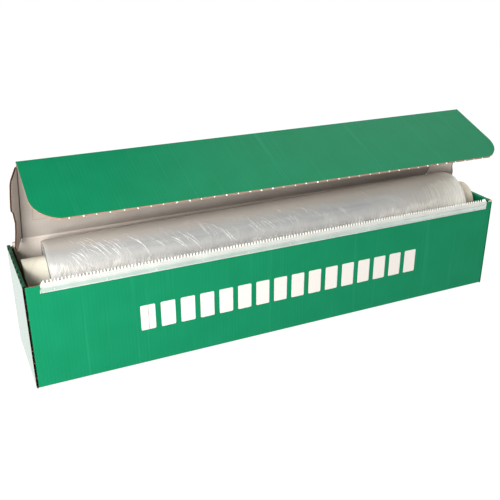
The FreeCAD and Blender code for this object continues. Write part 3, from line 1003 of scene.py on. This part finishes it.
def make_stakes():
    """Melted stake heads, each a little lopsided."""
    rng = random.Random(11)
    low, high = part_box("cutter_stakes")
    count = 11
    rings, around = 6, 16
    radius = (high.z - low.z) / 2
    centre_z = (low.z + high.z) / 2
    foot = front_low.y - 0.65 * MM
    bulge = 0.55 * MM
    parts = Parts()
    for number in range(count):
        x = low.x + radius + (high.x - low.x - 2 * radius) * number / (count - 1)
        lobes = rng.uniform(0, 2 * math.pi)
        points = []
        for ring in range(rings):
            rise = ring / (rings - 1)
            across = radius * math.sqrt(1 - rise * rise * 0.96)
            for i in range(around):
                angle = 2 * math.pi * i / around
                wobble = 1 + 0.10 * math.sin(2 * angle + lobes) + 0.05 * math.sin(5 * angle + lobes)
                aside = across * wobble * math.cos(angle)
                up = across * wobble * math.sin(angle)
                points.append(Vector((x + aside, foot - bulge * rise, centre_z + up)))
        faces = grid(rings - 1, around, closed=True)
        faces.append(tuple(range((rings - 1) * around, rings * around)))
        parts.add(points, faces, 0, [(p.x, p.z) for p in points])
    heads = parts.build("stake_heads", [BLADE], smooth=True)
    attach(heads, "carton")
    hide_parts("cutter_stakes")


make_stakes()

# ---- film and core

spin = JOINTS["roll_spin"]
askew = ALONG.rotation_difference(Vector(spin["axis"])).to_matrix().to_4x4()
ROLL = Matrix.Translation(Vector(spin["pos_m"])) @ askew
FILM_RADIUS = 34.8 * MM
FILM_HALF = 225 * MM
CORE_RADIUS = 20.9 * MM
CORE_HALF = 246 * MM
CORE_WALL = 2.5 * MM
ROUNDING = 3.2 * MM
WEB_RADIUS = FILM_RADIUS + 0.62 * MM
WEB_ARC = math.pi * WEB_RADIUS
WEB_DROP = 26 * MM


def turned(name, profile, around, material, displace=None):
    """A closed profile of (x, radius) turned round the roll's axis."""
    points = []
    flat = []
    travelled = [0.0]
    for (x0, r0), (x1, r1) in zip(profile, profile[1:]):
        travelled.append(travelled[-1] + math.hypot(x1 - x0, r1 - r0))
    for i in range(around + 1):
        angle = 2 * math.pi * i / around
        for (x, radius), length in zip(profile, travelled):
            if displace is not None:
                radius += displace(x, radius, angle)
            points.append(ROLL @ Vector((x, -radius * math.cos(angle), radius * math.sin(angle))))
            flat.append((length, angle * FILM_RADIUS))
    return make_mesh(name, points, grid(around, len(profile)), [material], None, flat, smooth=True)


def make_wound_film():
    """The wound film: stepped layers at both ends, and slightly uneven turns."""
    rng = random.Random(3)
    layers = 26
    rounds = 7
    rows = 150
    end = []
    for i in range(layers + 1):
        radius = CORE_RADIUS + 0.05 * MM + (FILM_RADIUS - CORE_RADIUS - ROUNDING) * i / layers
        end.append((-FILM_HALF + rng.uniform(-0.18, 0.18) * MM, radius))
    for i in range(1, rounds + 1):
        angle = math.radians(90 * i / rounds)
        radius = FILM_RADIUS - ROUNDING * (1 - math.sin(angle))
        end.append((-FILM_HALF + ROUNDING * (1 - math.cos(angle)), radius))
    profile = list(end)
    for i in range(1, rows):
        x = -FILM_HALF + ROUNDING + (2 * FILM_HALF - 2 * ROUNDING) * i / rows
        profile.append((x, FILM_RADIUS - rng.uniform(0, 0.05) * MM))
    profile += [(-x, radius) for x, radius in reversed(end)]
    profile.append(profile[0])
    film = turned("wound_film_roll", profile, 96, WOUND)
    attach(film, "roll")
    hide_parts("film_roll")


make_wound_film()


def make_core():
    """The paper tube, with the seam of its spiral outer ply."""
    lead = 62 * MM
    seam_half = 0.55 * MM
    seam_depth = 0.16 * MM
    rows = 330
    bore = CORE_RADIUS - CORE_WALL
    bevel = 0.3 * MM
    shoulder = CORE_RADIUS - 0.35 * MM
    span = 2 * CORE_HALF - 2 * bevel
    profile = [(-CORE_HALF, bore + bevel), (-CORE_HALF, shoulder)]
    profile += [(-CORE_HALF + bevel + span * i / rows, CORE_RADIUS) for i in range(rows + 1)]
    profile += [(CORE_HALF, shoulder), (CORE_HALF, bore + bevel)]
    profile += [(CORE_HALF - bevel, bore), (-CORE_HALF + bevel, bore)]
    profile.append(profile[0])
    seam = []

    def groove(x, radius, angle):
        share = ((x / lead) - angle / (2 * math.pi)) % 1.0
        near = math.exp(-((min(share, 1 - share) * lead / seam_half) ** 2))
        near = near if radius > CORE_RADIUS - 0.1 * MM else 0.0
        seam.append(near)
        return -seam_depth * near

    core = turned("core_tube", profile, 120, CORE, displace=groove)
    add_attribute(core, "seam", seam)
    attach(core, "roll")
    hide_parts("paper_core")


make_core()


def on_web(u, s, lift):
    """Places on the loose turn: u along the roll, s over it from the back, lift off it."""
    angle = np.clip(s / WEB_RADIUS, 0, math.pi)
    below = np.clip(s - WEB_ARC, 0, None)
    shell = WEB_RADIUS + lift
    local = np.stack([u, shell * np.cos(angle), shell * np.sin(angle) - below], -1).reshape(-1, 3)
    matrix = np.array(ROLL)
    return local @ matrix[:3, :3].T + matrix[:3, 3]


def make_pleats():
    """Long slanting pleats where the film is pulled down to the teeth, in small groups."""
    rng = random.Random(23)
    groups = 60
    steps = 16
    points = []
    flat = []
    middle = []
    faces = []
    for group in range(groups):
        share = ((group + rng.uniform(-0.4, 0.4)) / groups) ** 1.25
        strength = max(0.3, 1.25 - 0.8 * share)
        centre_u = -FILM_HALF + (0.03 + 0.80 * share) * 2 * FILM_HALF
        centre_s = WEB_ARC * rng.uniform(0.52, 0.72)
        reach = rng.uniform(12, 30) * MM
        slope = rng.uniform(0.35, 0.95)
        for number in range(rng.randint(1, 5)):
            start_u = centre_u + number * rng.uniform(1.6, 3.4) * MM
            start_s = centre_s + rng.uniform(-3, 5) * MM
            run = reach * rng.uniform(0.6, 1.15)
            bend = rng.uniform(0.3, 1.2)
            half_width = rng.uniform(0.28, 0.62) * MM
            # How strong the painted highlight along the pleat's middle is.
            bright = strength * rng.uniform(0.45, 1.0)
            first = len(points)
            faces += [tuple(first + i for i in face) for face in grid(steps, 3)]
            for i in range(steps + 1):
                along = i / steps
                u = start_u + slope * run * (along + bend * along * (1 - along))
                s = start_s + run * along
                fade = min(1.0, along * 6, (1 - along) * 2.2)
                for side in (-1, 0, 1):
                    across = u + side * half_width * (0.35 + 0.65 * fade)
                    lift = (0.06 if side else 0.14) * MM
                    points.append(on_web(np.array([across]), np.array([s]), lift)[0])
                    flat.append((across, s))
                    middle.append(0.0 if side else fade * bright)
    pleats = make_mesh("film_pleats", points, faces, [PLEAT], None, flat, smooth=True)
    add_attribute(pleats, "middle", middle)
    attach(pleats, "film_carrier")
    return pleats


def make_loose_film(pleats):
    """The loose outer turn: thin film over the roll, hanging down behind the teeth."""
    length = WEB_ARC + WEB_DROP
    across, down = 380, 130
    us = np.linspace(-FILM_HALF, FILM_HALF, across + 1)
    ss = np.linspace(0, length, down + 1)
    u, s = np.meshgrid(us, ss, indexing="ij")
    from_end = FILM_HALF - np.abs(u)

    # Its ends tuck in and ripple, and it sags in slow waves towards the front.
    tuck = np.clip(1 - from_end / (4.0 * MM), 0, 1) ** 2
    ripple = np.exp(-from_end / (6 * MM)) * np.sin(s / (1.9 * MM))
    forward = np.clip((s / WEB_ARC - 0.6) / 0.3, 0, 1)
    sag = np.sin(u / (11 * MM)) * np.sin(u / (37 * MM) + 1.0) * forward
    lift = (0.05 * ripple - 1.0 * tuck + 0.07 * sag) * MM
    points = on_web(u, s, lift)
    flat = np.stack([u, s], -1).reshape(-1, 2)
    faces = grid(across, down + 1)
    film = make_mesh("loose_film_turn", points, faces, [LOOSE], None, flat, smooth=True)
    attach(film, "film_carrier")
    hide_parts("film_web")


make_loose_film(make_pleats())

# ---- studio

def make_studio():
    """A wide glowing floor, a world that is bright at the horizon, and three lamps."""
    half, drop = 30, -0.3 * MM
    corners = [(-half, -half, drop), (half, -half, drop), (half, half, drop), (-half, half, drop)]
    floor = make_mesh("studio_ground", corners, [(0, 1, 2, 3)], [studio_floor()])
    world = bpy.data.worlds.new("studio")
    world.use_nodes = True
    nodes, links = world.node_tree.nodes, world.node_tree.links
    height = nodes.new("ShaderNodeSeparateXYZ")
    fade = nodes.new("ShaderNodeMapRange")
    links.new(nodes.new("ShaderNodeTexCoord").outputs["Generated"], height.inputs[0])
    links.new(height.outputs["Z"], fade.inputs["Value"])
    for socket, value in (("From Min", 0.10), ("From Max", 0.45), ("To Min", 1.0), ("To Max", 0.12)):
        fade.inputs[socket].default_value = value
    nodes["Background"].inputs["Color"].default_value = (1, 1, 1, 1)
    links.new(fade.outputs["Result"], nodes["Background"].inputs["Strength"])
    bpy.context.scene.world = world

    # Each lamp: its name, place, size, power, colour and whether it is mirrored in gloss.
    lamps = (
        ("key", (-0.62, -0.55, 0.30), 0.42, 10.6, (1.0, 0.99, 0.97), False),
        ("top", (0.36, -0.18, 1.3), 0.9, 9.4, (1.0, 1.0, 1.0), True),
        ("rim", (0.72, 0.50, 1.15), 0.9, 4.5, (1.0, 1.0, 1.0), True),
    )
    target = Vector((0, 0, 0.08))
    for name, place, size, power, colour, mirrored in lamps:
        light = bpy.data.lights.new(name, "AREA")
        light.size = size
        light.energy = power
        light.color = colour
        lamp = bpy.data.objects.new(name, light)
        lamp.location = place
        lamp.visible_glossy = mirrored
        lamp.rotation_euler = (target - Vector(place)).to_track_quat("-Z", "Y").to_euler()
        bpy.context.scene.collection.objects.link(lamp)


def make_camera():
    """The view: from the front and a little to the left, looking down on the carton."""
    place = (-0.302133, -0.606988, 0.370182)
    azimuth, elevation, roll = (math.radians(a) for a in (-24.834, 23.923, -0.037))
    swung = Matrix.Rotation(azimuth, 4, "Z")
    tipped = Matrix.Rotation(math.pi / 2 - elevation, 4, "X")
    rolled = Matrix.Rotation(roll, 4, "Z")
    data = bpy.data.cameras.new("view")
    data.sensor_width = 36
    data.lens = 50.787
    data.clip_end = 100
    camera = bpy.data.objects.new("view", data)
    camera.matrix_world = Matrix.Translation(place) @ swung @ tipped @ rolled
    bpy.context.scene.collection.objects.link(camera)
    bpy.context.scene.camera = camera


make_studio()
make_camera()
bpy.context.scene.view_settings.view_transform = "Standard"
